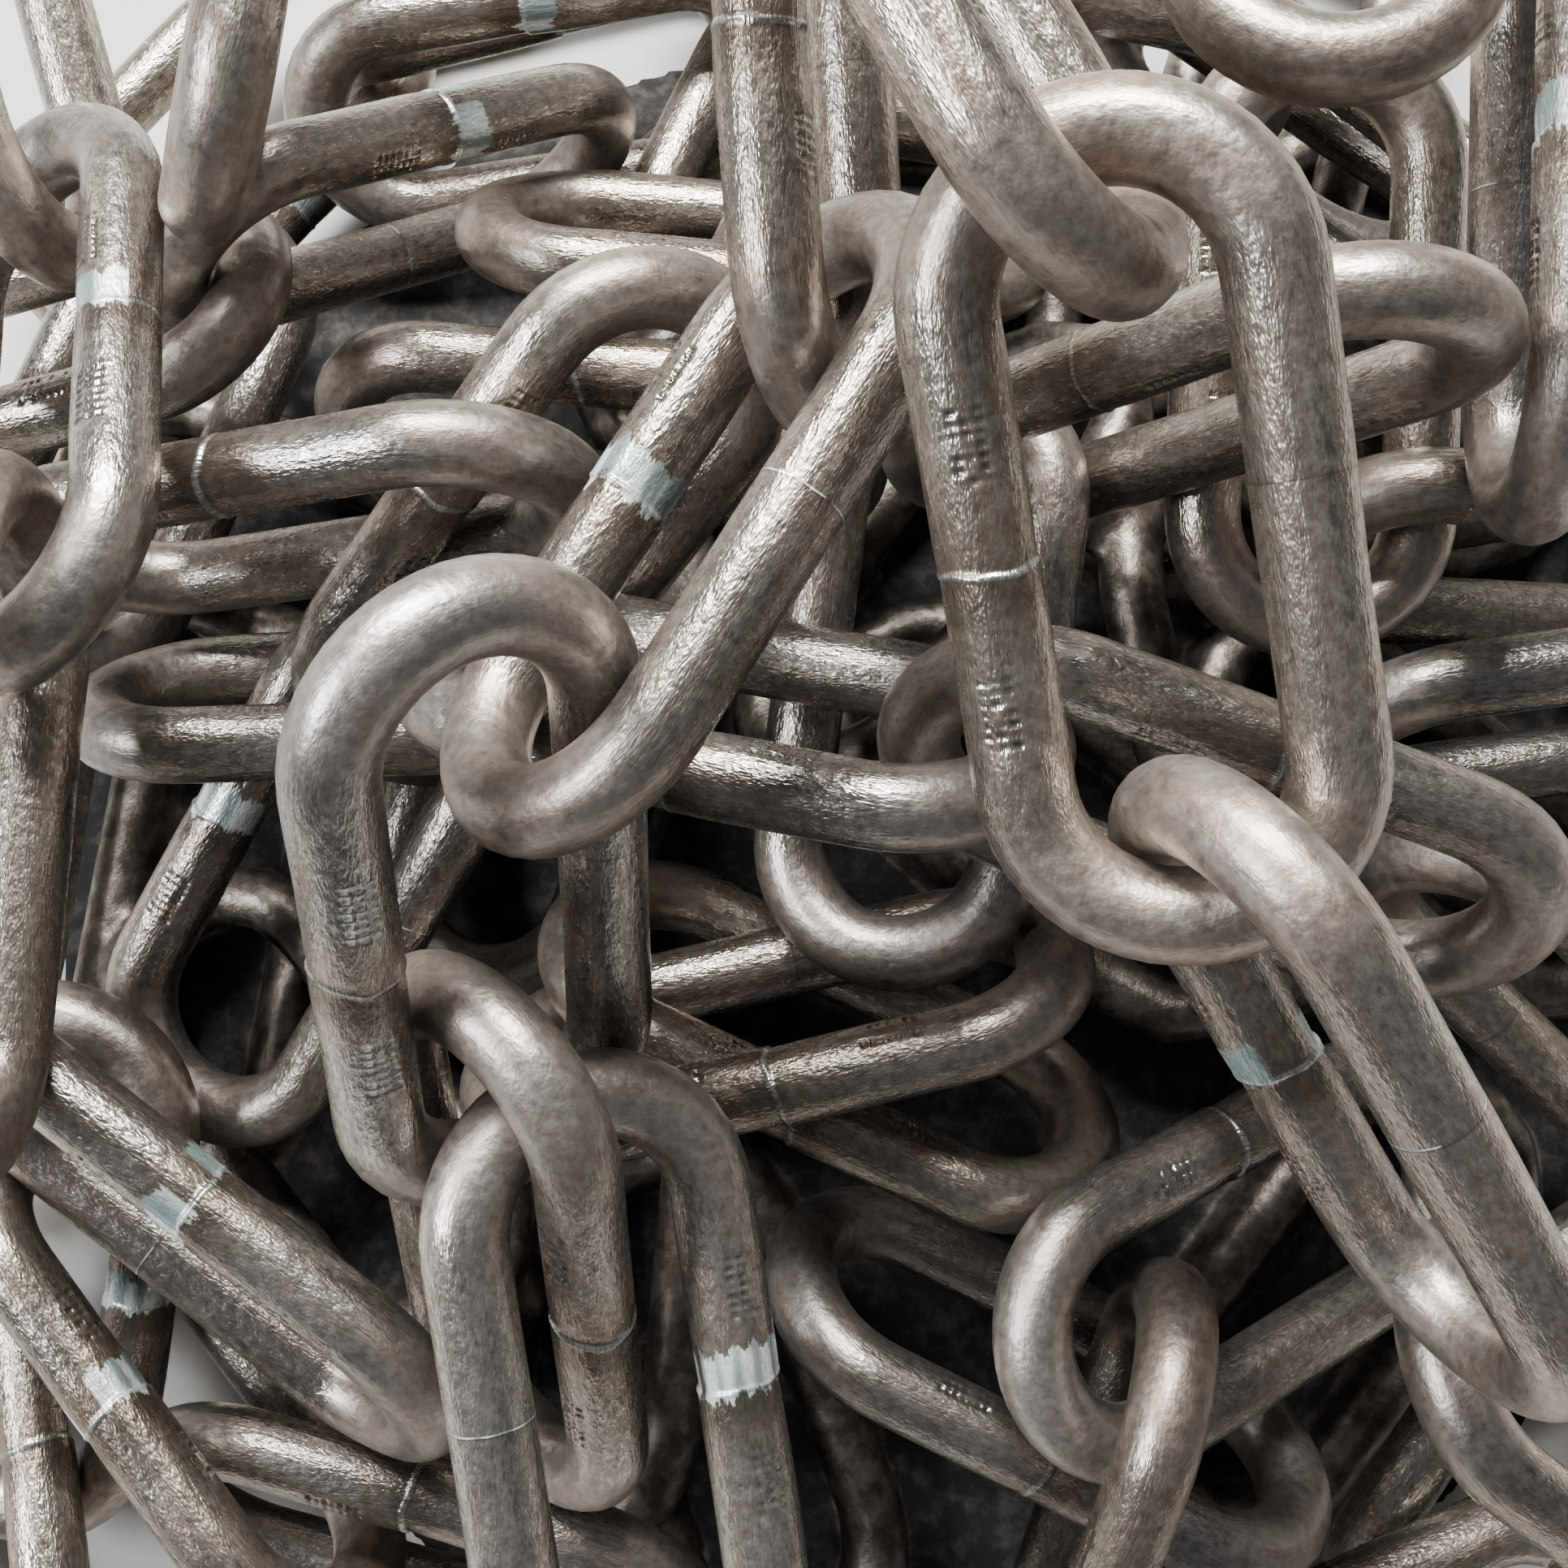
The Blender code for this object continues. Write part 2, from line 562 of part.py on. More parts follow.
def core_of_links(name, heap, seen):
    """The bed and the buried links on it as one solid."""
    bed = bpy.data.objects.new("bed", bed_mesh())
    bpy.context.scene.collection.objects.link(bed)
    loops = bpy.data.collections.new("buried_loops")
    bpy.context.scene.collection.children.link(loops)
    shared = link_mesh("buried_link", BURIED_SECTION_POINTS, BURIED_BEND_STEPS, BURIED_GROWTH)
    drop = Drop(heap, seen)
    for number in range(BURIED_LINKS):
        drop.add(number)
    for middle, turn in zip(drop.middle[drop.lying:], drop.turn[drop.lying:]):
        loop = bpy.data.objects.new("buried_link", shared)
        loop.matrix_world = placed(middle, turn)
        loops.objects.link(loop)
    print("buried links", len(loops.objects), "at heights in mm",
          np.round(1000 * drop.middle[drop.lying:, 2]).astype(int).tolist())
    join = bed.modifiers.new("join", "BOOLEAN")
    join.operation, join.solver = "UNION", "EXACT"
    join.operand_type, join.collection = "COLLECTION", loops
    bpy.context.view_layer.update()
    mesh = bpy.data.meshes.new_from_object(bed.evaluated_get(bpy.context.evaluated_depsgraph_get()))
    for thing in [bed, *loops.objects]:
        bpy.data.objects.remove(thing)
    bpy.data.collections.remove(loops)
    return bpy.data.objects.new(name, mesh)


def steel(name, colour, roughness):
    material = bpy.data.materials.new(name)
    material.use_nodes = True
    shader = material.node_tree.nodes["Principled BSDF"]
    shader.inputs["Base Color"].default_value = (*colour, 1.0)
    shader.inputs["Metallic"].default_value = 0.85
    shader.inputs["Roughness"].default_value = roughness
    material.diffuse_color = (*colour, 1.0)
    return material


def arranged():
    """Names and resting places of all links."""
    names, poses = [], []
    for name, seen in SEEN_LINKS.items():
        names.append(name)
        poses.append(seen_pose(*seen))
    for run, laid in LAID_RUNS.items():
        for k, pose in enumerate(laid_poses(*laid)):
            names.append(f"{run}_link_{k + 1}")
            poses.append(pose)

    heap = Heap(poses, len(SEEN_LINKS))
    heap.ease(FALLING_STEPS, FALL_PER_STEP, PULL_BACK)
    heap.ease(EASE_STEPS - FALLING_STEPS, 0.0, 0.0)
    left = heap.close_up()
    worst = heap.ease(SETTLE_STEPS, 0.0, 0.0)
    moved = np.linalg.norm(heap.middle - heap.home, axis=1)
    print("links", len(names), "left loose", left, "worst overlap mm", round(worst * 1000, 4))
    print("moved mm: mean", round(moved.mean() * 1000, 1), "most", round(moved.max() * 1000, 1))
    return names, heap


def centre(part):
    """Move the whole heap so that its outline is centred over the origin."""
    points = np.array([thing.matrix_world @ v.co for thing in part.objects
                       for v in thing.data.vertices])
    middle = (points.min(axis=0) + points.max(axis=0)) / 2
    print("heap moved mm:", np.round(-1000 * middle[:2], 3), "size mm:",
          np.round(1000 * (points.max(axis=0) - points.min(axis=0)), 1))
    for thing in part.objects:
        thing.matrix_world = Matrix.Translation((-middle[0], -middle[1], 0)) @ thing.matrix_world


def main():
    for old in list(bpy.data.objects):
        bpy.data.objects.remove(old)
    part = bpy.data.collections.new("heap_of_iron_chain")
    bpy.context.scene.collection.children.link(part)

    names, heap = arranged()

    bare = steel("bare_steel", (0.30, 0.28, 0.26), 0.38)
    buried = steel("buried_steel", (0.10, 0.095, 0.09), 0.6)
    shared = link_mesh("chain_link", SECTION_POINTS, BEND_STEPS, SECTION_GROWTH)
    shared.materials.append(bare)
    for k, name in enumerate(names):
        link = bpy.data.objects.new(name, shared)
        link.matrix_world = placed(heap.middle[k], heap.turn[k])
        part.objects.link(link)
    core = core_of_links("core_of_buried_links", heap, len(SEEN_LINKS))
    core.data.materials.clear()
    core.data.materials.append(buried)
    part.objects.link(core)
    bpy.context.view_layer.update()
    centre(part)


main()
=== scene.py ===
# %% [markdown]
# # Heap of iron chain
# A heap of loose lengths of bare steel long-link chain, seen from close by and nearly
# from above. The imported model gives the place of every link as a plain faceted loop. This
# lesson dresses each one with a round bar that has its weld, its grip marks and its skin
# of drawn, handled steel, and lights the heap softly. Each link keeps its place: the new
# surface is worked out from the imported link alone.

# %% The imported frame
import math

import bpy
import numpy as np
from mathutils import Matrix


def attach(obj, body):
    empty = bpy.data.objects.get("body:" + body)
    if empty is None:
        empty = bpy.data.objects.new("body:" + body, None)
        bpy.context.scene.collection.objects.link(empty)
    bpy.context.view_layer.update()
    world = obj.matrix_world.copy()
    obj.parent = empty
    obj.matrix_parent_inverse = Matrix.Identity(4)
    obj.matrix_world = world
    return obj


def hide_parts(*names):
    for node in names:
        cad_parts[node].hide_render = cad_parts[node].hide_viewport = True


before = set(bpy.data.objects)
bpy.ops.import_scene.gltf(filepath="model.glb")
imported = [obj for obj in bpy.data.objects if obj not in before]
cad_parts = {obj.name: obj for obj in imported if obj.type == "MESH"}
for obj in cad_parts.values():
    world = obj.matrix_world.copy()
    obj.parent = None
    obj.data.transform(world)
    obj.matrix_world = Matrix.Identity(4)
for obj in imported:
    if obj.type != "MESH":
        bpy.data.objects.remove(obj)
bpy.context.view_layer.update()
links = sorted(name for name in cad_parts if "_link_" in name)
core_name = next(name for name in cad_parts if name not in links)
print("links in the frame:", len(links), "and", core_name)

# %% [markdown]
# The photograph looks down steeply on the heap. These are the eye's place in metres, how
# far it looks down, and the focal length and width of the picture in pixels. The three
# axes of the picture are also used to say on which leg of a link the weld is seen.

# %% The eye
EYE = np.array([-0.008382, -0.054052, 0.310])
EYE_ELEVATION = math.radians(78.0)
PICTURE_FOCAL = 2400.0
PICTURE_SIZE = 1932.0
RIGHT = np.array([1.0, 0.0, 0.0])
UP = np.array([0.0, math.sin(EYE_ELEVATION), math.cos(EYE_ELEVATION)])
BACK = np.array([0.0, -math.cos(EYE_ELEVATION), math.sin(EYE_ELEVATION)])

camera = bpy.data.objects.new("camera", bpy.data.cameras.new("camera"))
bpy.context.scene.collection.objects.link(camera)
camera.location = EYE
camera.rotation_euler = (math.pi / 2 - EYE_ELEVATION, 0.0, 0.0)
camera.data.sensor_width = 36.0
camera.data.lens = 36.0 * PICTURE_FOCAL / PICTURE_SIZE
camera.data.clip_start = 0.01
bpy.context.scene.camera = camera
print("lens", round(camera.data.lens, 1), "mm")

# %% [markdown]
# A link is a round bar bent to a closed loop of two straight legs and two half-round
# bends, and butt-welded in the middle of one leg. Its middle line is followed from the
# weld on: half a leg, a bend, the other leg, the second bend and half a leg again.

# %% The middle line of a link
MM = 0.001
WIRE_RADIUS = 5.0
BEND_RADIUS = 15.0
HALF_LEG = 22.5
BEND_LENGTH = math.pi * BEND_RADIUS
LOOP_LENGTH = 4 * HALF_LEG + 2 * BEND_LENGTH


def middle_line(t):
    """Points and outward directions of the middle line at the lengths t from the weld, in mm.

    A leg is a straight line at y = +-BEND_RADIUS. A bend is a half circle round the end of
    the legs: with w = arc / radius its point is end + radius (sin w, cos w), and the
    outward direction is the same sine and cosine.
    """
    t = np.mod(t, LOOP_LENGTH)
    edges = np.cumsum([HALF_LEG, BEND_LENGTH, 2 * HALF_LEG, BEND_LENGTH])
    first = (t - edges[0]) / BEND_RADIUS
    second = (t - edges[2]) / BEND_RADIUS
    cases = [t < edges[0], t < edges[1], t < edges[2], t < edges[3]]
    x = np.select(cases, [-t, -HALF_LEG - BEND_RADIUS * np.sin(first),
                          t - edges[1] - HALF_LEG, HALF_LEG + BEND_RADIUS * np.sin(second)],
                  HALF_LEG - (t - edges[3]))
    nx = np.select(cases, [0 * t, -np.sin(first), 0 * t, np.sin(second)], 0 * t)
    ny = np.select(cases, [1 + 0 * t, np.cos(first), -1 + 0 * t, -np.cos(second)], 1 + 0 * t)
    return np.stack([x, BEND_RADIUS * ny, 0 * t], -1), np.stack([nx, ny, 0 * t], -1)


print("bar length of a link", round(LOOP_LENGTH, 1), "mm")

# %% [markdown]
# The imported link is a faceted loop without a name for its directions. The spread of its
# corner points gives them back: it is widest along the length, then across the two legs,
# and least through the bar. The sign of the crosswise direction says on which leg the
# weld sits, so it is turned towards the side on which the photograph shows the weld.

# %% The place of each link
SIDES = {"left": -RIGHT, "right": RIGHT, "up": UP}
WELD_SIDE = {
    "front_link_02": "left", "front_link_03": "left", "front_link_04": "left",
    "front_link_05": "left", "front_link_06": "right", "front_link_07": "right",
    "front_link_33": "left", "front_link_28": "up",
}


def link_place(name):
    """Middle, and the three axes as columns: along the legs, towards the weld, through."""
    points = np.array([corner.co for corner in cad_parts[name].data.vertices])
    points = np.unique(np.round(points, 5), axis=0)
    middle = points.mean(axis=0)
    axes = np.linalg.eigh(np.cov((points - middle).T))[1]
    along, across = axes[:, 2], axes[:, 1]
    side = SIDES.get(WELD_SIDE.get(name), EYE - middle)
    across = across * np.sign(across @ side)
    along = along * np.sign(along @ -UP + 1e-6)
    return middle, np.stack([along, across, np.cross(along, across)], axis=1)


places = {name: link_place(name) for name in links}
print("first link lies at", np.round(places[links[0]][0], 3))

# %% [markdown]
# Flash welding leaves its traces on the leg: a thin crooked ring where the two ends met,
# a small step because they never meet quite true, and, to both sides of it, the bite of
# the serrated jaws that gripped the bar: a field of three columns of small square dents,
# some of them deep and some missed. They are modelled as a change of the bar's radius.
# The dents of a field are drawn by chance, one number for each of its cells.

# %% The bar's radius
GRIP_ROW = 1.08
GRIP_COLUMN = 1.35
GRIP_DEPTH = 0.30
GRIP_ROWS = 7
GRIP_COLUMNS = 3
FIELD_NEAR, FIELD_FAR = 10.0, 15.0
RING_HEIGHT = 0.20
RING_WIDTH = 0.26
WAVE_HEIGHT = 0.045
STEP_HEIGHT, STEP_REACH = 0.34, 9.0
TRIM_DEPTH, TRIM_REACH = 0.10, 2.4


def round_off(angle):
    """The angle brought between minus and plus half a turn."""
    return np.mod(angle + np.pi, 2 * np.pi) - np.pi


def grip_field(t, turn, start, face, lean, cells):
    """Depth of one field of dents, 0 to 1, round the place (start, face) on the bar.

    A cell has the depth (1 - u^4)(1 - v^4), where u and v run from -1 to 1 across the dent
    and are cut off outside it, times the cell's own chance number.
    """
    column = WIRE_RADIUS * round_off(turn - face) / GRIP_COLUMN + GRIP_COLUMNS / 2
    row = (t - start) / GRIP_ROW + lean * column + GRIP_ROWS / 2
    i = np.clip(np.floor(row).astype(int), 0, GRIP_ROWS - 1)
    j = np.clip(np.floor(column).astype(int), 0, GRIP_COLUMNS - 1)
    u = np.clip((row - i - 0.5) / 0.44, -1, 1)
    v = np.clip((column - j - 0.5) / 0.42, -1, 1)
    return (1 - u ** 4) * (1 - v ** 4) * cells[i, j]


def grip_fields(draw):
    """Start, face, lean and cells of the four fields of a link, two on each side."""
    fields = []
    for side in (-1, 1):
        start = side * draw.uniform(FIELD_NEAR, FIELD_FAR)
        for face in (np.pi / 2, -np.pi / 2):
            cells = np.clip(draw.normal(0.75, 0.35, (GRIP_ROWS, GRIP_COLUMNS)), 0, 1.2)
            cells[:, 1:] *= np.clip(draw.normal(0.8, 0.3, GRIP_COLUMNS - 1), 0, 1)
            fields.append((start + draw.uniform(-0.6, 0.6), face + draw.uniform(-0.22, 0.22),
                           draw.uniform(-0.12, 0.12), cells))
    return fields


def waves(t, turn, draw, along, around, count):
    """A sum of chance waves, each a whole number of times along the loop and round the bar."""
    way = 2 * np.pi * t / LOOP_LENGTH
    total = 0 * (t + turn)
    for _ in range(count):
        k, m = draw.integers(-along, along + 1), draw.integers(around[0], around[1] + 1)
        total = total + np.cos(k * way + m * turn + draw.uniform(0, 2 * np.pi))
    return total / math.sqrt(count / 2)


def bar_surface(t, turn, draw, fields):
    """Radius of the bar, the depth of its dents and the distance from the weld's ring.

    The radius is the plain one, plus long low waves, plus the weld's ring
    height exp(-(d / width)^2), where d is the distance to a ring that leans, plus the
    step of the far side, which lies a little off centre, less what was trimmed off the weld.
    """
    low = WAVE_HEIGHT * waves(t, turn, draw, 9, (0, 3), 6)
    t = np.mod(t + LOOP_LENGTH / 2, LOOP_LENGTH) - LOOP_LENGTH / 2
    off = t - draw.uniform(0.3, 0.9) * np.cos(turn - draw.uniform(0, 6.28))
    off = off - 0.18 * np.cos(3 * turn - draw.uniform(0, 6.28)) - 0.10 * np.cos(7 * turn)
    ring = RING_HEIGHT * np.exp(-(off / RING_WIDTH) ** 2)
    beyond = 1 / (1 + np.exp(-off / 0.15))
    step = np.exp(-(t / STEP_REACH) ** 2) * (beyond - 0.5)
    step = step * STEP_HEIGHT * np.cos(turn - draw.uniform(0, 6.28))
    trim = -TRIM_DEPTH * np.exp(-(off / TRIM_REACH) ** 2)
    dents = sum((grip_field(t, turn, *field) for field in fields), 0 * (t + turn))
    return WIRE_RADIUS + low + ring + step + trim - GRIP_DEPTH * dents, dents, off


print("a field of dents is", round(GRIP_ROWS * GRIP_ROW, 1), "by",
      round(GRIP_COLUMNS * GRIP_COLUMN, 1), "mm")

# %% [markdown]
# The grid is dense only where it has work to do: along the bar near the weld and in the
# grip fields, and round the bar on the two faces that the jaws held. Everywhere else a
# few steps are enough for a smooth round. Each point also keeps where it is on the bar,
# so that the finish can follow the bar round its bends: the way along the loop and the
# turn round the bar are kept in forms that join without a seam. Broad streaks and patches
# are worked out here too, as they need no finer grid.

# %% The skin of a link
HALF = LOOP_LENGTH / 2
FAR_LEG = HALF_LEG + BEND_LENGTH
FIELD = GRIP_ROW * GRIP_ROWS / 2 + 0.5
RING_REACH = 1.8
FACE_FROM, FACE_TO = 0.94, 2.2


def steps(*stretches):
    """Even steps through the stretches (from, to, count), joined end to end."""
    return np.concatenate([np.linspace(a, b, n, endpoint=False) for a, b, n in stretches])


def fine_way(fields):
    """Steps along the bar: close over the weld's ring and over the fields of dents."""
    left, right = (np.mean([field[0] for field in fields[k:k + 2]]) for k in (0, 2))
    return steps((-HALF, -FAR_LEG, 3), (-FAR_LEG, -HALF_LEG, 22), (-HALF_LEG, left - FIELD, 2),
                 (left - FIELD, left + FIELD, 36), (left + FIELD, -RING_REACH, 4),
                 (-RING_REACH, RING_REACH, 17), (RING_REACH, right - FIELD, 4),
                 (right - FIELD, right + FIELD, 36), (right + FIELD, HALF_LEG, 2),
                 (HALF_LEG, FAR_LEG, 22), (FAR_LEG, HALF, 3))


COARSE_WAY = steps((-HALF, -FAR_LEG, 4), (-FAR_LEG, -HALF_LEG, 18), (-HALF_LEG, -2, 5), (-2, 2, 14),
                   (2, HALF_LEG, 5), (HALF_LEG, FAR_LEG, 18), (FAR_LEG, HALF, 4))
FINE_TURN = steps((-FACE_TO, -FACE_FROM, 22), (-FACE_FROM, FACE_FROM, 9),
                  (FACE_FROM, FACE_TO, 22), (FACE_TO, 2 * np.pi - FACE_TO, 9))
COARSE_TURN = steps((-np.pi, np.pi, 28))


def skin(place, draw, fine, band, painted_glint):
    """Points over the bar, middle line + radius (cos turn outward + sin turn through), and
    what is kept at them."""
    middle, axes = place
    fields = grip_fields(draw)
    way, turn = (fine_way(fields), FINE_TURN) if fine else (COARSE_WAY, COARSE_TURN)
    t, angle = np.meshgrid(way, turn, indexing="ij")
    radius, dents, off = bar_surface(t, angle, draw, fields if fine else [])
    centre, outward = middle_line(t)
    through = np.array([0.0, 0.0, 1.0])
    points = centre + radius[..., None] * (np.cos(angle)[..., None] * outward
                                           + np.sin(angle)[..., None] * through)
    streak = waves(t, angle, draw, 2, (4, 12), 14)
    patch = waves(t, angle, draw, 12, (0, 4), 14)
    own = {
        "way": np.stack([np.abs(t) / HALF, np.sin(t / HALF * np.pi),
                         np.full_like(t, draw.uniform(0, 1))], -1),
        "round": np.stack([np.cos(angle), np.sin(angle), np.abs(outward[..., 0])], -1),
        "weld": np.stack([off / 10.0, dents * (-1 if painted_glint else 1), np.full_like(t, band)], -1),
        "marks": np.stack([streak, patch, np.full_like(t, draw.uniform(0, 1))], -1),
    }
    return middle + MM * points @ axes.T, own


def closed_mesh(name, grid, kept):
    """A mesh over a grid of points that closes on itself both ways, with what is kept there."""
    rows, columns = grid.shape[:2]
    i, j = np.arange(rows)[:, None], np.arange(columns)[None]
    n, m = (i + 1) % rows, (j + 1) % columns
    quads = np.stack([i * columns + j, n * columns + j, n * columns + m, i * columns + m], -1)
    mesh = bpy.data.meshes.new(name)
    mesh.vertices.add(rows * columns)
    mesh.vertices.foreach_set("co", grid.astype(np.float32).ravel())
    mesh.loops.add(quads.size)
    mesh.loops.foreach_set("vertex_index", quads.astype(np.int32).ravel())
    mesh.polygons.add(rows * columns)
    mesh.polygons.foreach_set("loop_start", np.arange(0, quads.size, 4, dtype=np.int32))
    mesh.update(calc_edges=True)
    for key, values in kept.items():
        layer = mesh.attributes.new(key, "FLOAT_VECTOR", "POINT")
        layer.data.foreach_set("vector", values.astype(np.float32).ravel())
    mesh.shade_smooth()
    return mesh


print("coarse link:", len(COARSE_WAY) * len(COARSE_TURN) * 2, "triangles")

# %% [markdown]
# Shader maths reads best as sums. This small class wraps a socket, so that an expression
# such as 1 - mask adds its own Math node. Any other node comes from one method that takes
# the node's kind, its settings and the values or links of its sockets.

# %% Shader maths
class Value:
    """A shader socket that can stand in a sum."""

    def __init__(self, finish, socket):
        self.finish, self.socket = finish, socket

    def math(self, operation, *others):
        return self.finish.node("Math", {"operation": operation}, (self, *others))

    def __add__(self, other):
        return self.math("ADD", other)

    def __sub__(self, other):
        return self.math("SUBTRACT", other)

    def __rsub__(self, other):
        return self.finish.node("Math", {"operation": "SUBTRACT"}, (other, self))

    def __mul__(self, other):
        return self.math("MULTIPLY", other)

    __radd__, __rmul__ = __add__, __mul__

    def rise(self, start, end):
        """0 below start, 1 above end and a smooth rise between them."""
        return self.finish.node("MapRange", {"interpolation_type": "SMOOTHSTEP"},
                                (self, start, end, 0.0, 1.0))


class Finish:
    """A material and its nodes."""

    def __init__(self, name, metallic, roughness):
        self.material = bpy.data.materials.new(name)
        self.material.use_nodes = True
        self.tree = self.material.node_tree
        self.shader = self.tree.nodes["Principled BSDF"]
        self.shader.inputs["Metallic"].default_value = metallic
        self.shader.inputs["Roughness"].default_value = roughness

    def node(self, kind, settings=None, values=(), output=0):
        made = self.tree.nodes.new("ShaderNode" + kind)
        for key, value in (settings or {}).items():
            setattr(made, key, value)
        pairs = values.items() if isinstance(values, dict) else enumerate(values)
        for key, value in pairs:
            if isinstance(value, Value):
                self.tree.links.new(value.socket, made.inputs[key])
            else:
                made.inputs[key].default_value = value
        return Value(self, made.outputs[output])

    def mix(self, share, one, two):
        """Colour between one and two."""
        colours = [c if isinstance(c, Value) else (*c, 1.0) for c in (one, two)]
        return self.node("Mix", {"data_type": "RGBA"},
                         {0: share, 6: colours[0], 7: colours[1]}, output=2)

    def kept(self, name):
        """The three numbers kept at each point under that name."""
        vector = self.node("Attribute", {"attribute_name": name}, output=1)
        return [self.node("SeparateXYZ", None, (vector,), output=k) for k in range(3)]

    def feed(self, socket, value):
        self.tree.links.new(value.socket, self.shader.inputs[socket])


# %% [markdown]
# The bars are drawn steel, bent hot and left bare. The legs are grey-brown and keep some
# gloss, which long lines from the drawing and many short scuffs break up into dashes. The
# bends are duller, with a fine grain, and coppery tints come and go along every bar. Beside
# the weld of some links a band with torn edges is scraped to bright metal, bluish in streaks,
# and the heat has left a dark and a brownish zone. The short scuffs are noise stretched
# along the bar. It is worked out from the sine and cosine of the turn, and from the way from
# the weld counted to both sides, so it has no seam. A slow sine added to it keeps the two
# sides from being each other's mirror.

# %% The steel
DASHES_ROUND, DASHES_ALONG, DASH_LEAN = 8.0, 47.0, 3.0
OWN_SHIFT = 40.0
STEEL_GRAIN = 700.0
METALLIC, ROUGHNESS = 0.86, 0.31
COPPERY, HEAT_BROWN, RING_GREY = (0.37, 0.27, 0.22), (0.27, 0.20, 0.14), (0.66, 0.70, 0.70)
SCRAPED_BLUE, SCRAPED_WHITE = (0.33, 0.44, 0.46), (0.86, 0.94, 0.93)
# pale colour of the painted glint in the dents of one link
PAINTED_GLINT_WHITE = (0.86, 0.84, 0.80)


def steel(name, leg_colour, bright_colour, bend_colour, dark_colour):
    """Bare steel finish for a skin that keeps its way, round, weld and marks."""
    finish = Finish(name, METALLIC, ROUGHNESS)
    node = finish.node
    way, slow, own = finish.kept("way")
    turn_x, turn_y, bend = finish.kept("round")
    weld, dent, band = finish.kept("weld")
    streak, patch, chance = finish.kept("marks")

    along = node("CombineXYZ", None, (turn_x * DASHES_ROUND + slow * DASH_LEAN,
                                      turn_y * DASHES_ROUND,
                                      way * DASHES_ALONG + own * OWN_SHIFT))
    dash = node("TexNoise", None, {"Vector": along, "Scale": 1.0, "Detail": 2.0, "Roughness": 0.80})
    place = node("TexCoord", None, (), output=3)
    mottle = node("TexNoise", None,
                  {"Vector": place, "Scale": STEEL_GRAIN, "Detail": 2.0, "Roughness": 0.6})

    on_bend = bend.rise(0.02, 0.55)
    on_leg = 1.0 - on_bend
    drawn = dash + 0.045 * streak
    light = drawn.rise(0.46, 0.68) * (0.45 + 0.55 * on_leg)
    colour = finish.mix(on_bend * 0.8, leg_colour, bend_colour)
    colour = finish.mix((patch + 0.6 * streak).rise(-0.2, 1.6) * 0.45, colour, COPPERY)
    colour = finish.mix(mottle.rise(0.42, 0.66) * 0.22 + light * 0.35, colour, bright_colour)
    grime = (drawn + 0.03 * patch).rise(0.42, 0.28) * (0.08 + 0.34 * on_leg)
    colour = finish.mix(grime, colour, dark_colour)
    colour = finish.mix(mottle.rise(0.42, 0.27) * 0.26, colour, dark_colour)
    shade = node("HueSaturation", None,
                 {"Hue": 0.5, "Saturation": 0.60 + 0.4 * own, "Value": 0.88 + 0.24 * chance,
                  "Fac": 1.0, "Color": colour})

    torn = weld - 0.22 + 0.05 * streak + 0.35 * (dash - 0.5)
    scraped = torn.math("ABSOLUTE").rise(0.29, 0.25) * band.rise(0.05, 0.15)
    scraped = scraped * (turn_y.math("ABSOLUTE") + 0.12 * streak + band - 0.9).rise(0.0, 0.12)
    beside = weld.math("ABSOLUTE")
    heated = (beside + 0.04 * patch).rise(1.0, 0.3) * (1.0 - scraped)
    shade = finish.mix(heated * 0.30, shade, HEAT_BROWN)
    sooty = (weld + 0.15 + 0.03 * patch).math("ABSOLUTE").rise(0.42, 0.10) * 0.45 * (1.0 - scraped)
    shade = finish.mix(sooty, shade, dark_colour)
    bared = finish.mix((streak + 0.5 * patch).rise(-0.8, 0.9), SCRAPED_BLUE, SCRAPED_WHITE)
    shade = finish.mix(scraped * (0.60 + 0.40 * drawn.rise(0.36, 0.56)), shade, bared)
    ring = beside.rise(0.055, 0.02) * (0.35 + 0.65 * drawn.rise(0.40, 0.60))
    shade = finish.mix(ring * 0.7, shade, RING_GREY)
    # painted shade: the dents are painted darker in proportion to their depth, as shade in the
    # recesses
    shade = finish.mix(dent * 0.22, shade, dark_colour)
    # painted glint: where the kept dent depth is negative, the dents are painted pale and made less
    # metallic, so they show bright whatever the light
    painted_glint = (0.0 - dent).rise(0.15, 0.50)
    shade = finish.mix(painted_glint * 0.75, shade, PAINTED_GLINT_WHITE)
    finish.feed("Base Color", shade)

    dull = ROUGHNESS + 0.13 * on_bend - 0.10 * light + 0.02 * patch
    dull = dull + 0.14 * (mottle - 0.5) + 0.04 * scraped - 0.12 * dent.math("ABSOLUTE")
    finish.feed("Roughness", dull)
    finish.feed("Metallic", METALLIC - 0.3 * scraped - 0.6 * painted_glint)

    relief = dash * (0.25 + 0.75 * on_leg) + mottle * (0.35 + 0.25 * on_bend)
    bump = node("Bump", None, {"Strength": 0.60, "Distance": 0.00030, "Height": relief})
    finish.feed("Normal", bump)
    return finish.material


BARE = steel("bare_steel_links", (0.33, 0.295, 0.26), (0.64, 0.605, 0.55), (0.375, 0.33, 0.30),
             (0.115, 0.10, 0.088))
print("finish:", BARE.name, "with", len(BARE.node_tree.nodes), "nodes")

# %% [markdown]
# Every packed link gets its skin. The links that the photograph shows get the fine grid
# with grip marks, and the rest the coarse one. Only some welds have a scraped band, and
# the photograph says on which of its links. On one link the dents get a painted glint: they
# are painted pale and bright, and there the kept depth of the dents has a minus sign. The
# draw of chances starts from the link's place in the list, so the heap is the same each time.

# %% The links in sight
BAND = {
    "front_link_07": 1.0, "front_link_04": 0.9, "front_link_11": 0.7, "front_link_33": 0.8,
    "front_link_32": 0.45, "front_link_34": 0.6, "front_link_09": 0.4, "front_link_03": 0.4,
    "front_link_22": 0.5, "front_link_38": 0.5, "front_link_01": 0.3,
}
# links whose dents get a painted glint
PAINTED_GLINT_LINKS = {"front_link_05"}
PLAIN_SHARE = 0.8
NEAR_LINKS = 38
FIRST_DRAW = 100

